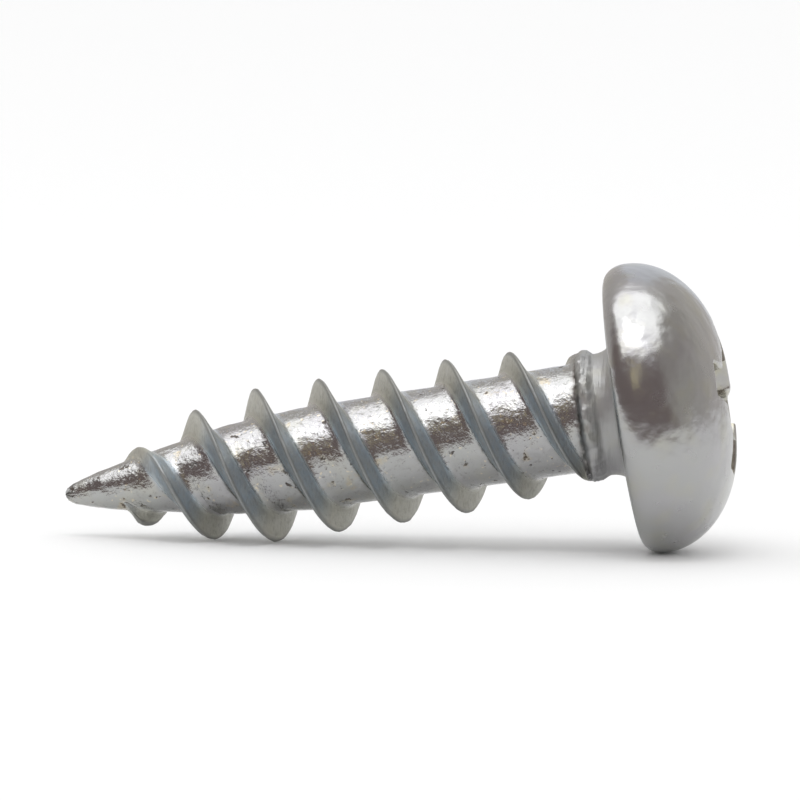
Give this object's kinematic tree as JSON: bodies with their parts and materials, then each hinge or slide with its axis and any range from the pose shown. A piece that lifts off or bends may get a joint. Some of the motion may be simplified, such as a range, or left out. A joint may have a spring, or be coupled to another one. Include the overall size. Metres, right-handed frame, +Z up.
{
  "type": "round head wood screw",
  "caption": "Short wood screw with a domed round head, a cross recess, a plain neck, a coarse twin-start thread and a sharp gimlet point.",
  "frame": {"origin": "on the floor under the middle of the screw's box, with the screw lying as it comes to rest", "axes": "+X along the screw towards its head, which the axis rises to by 9.97 degrees, +Z up from the floor"},
  "size_m": [0.0184, 0.008, 0.0079],
  "materials": {
    "zinc_plated_steel": "bright zinc plating, glossy on the head, finely scratched and pitted on the thread and core"
  },
  "bodies": {
    "root": {"screw": "zinc_plated_steel"}
  },
  "joints": []
}
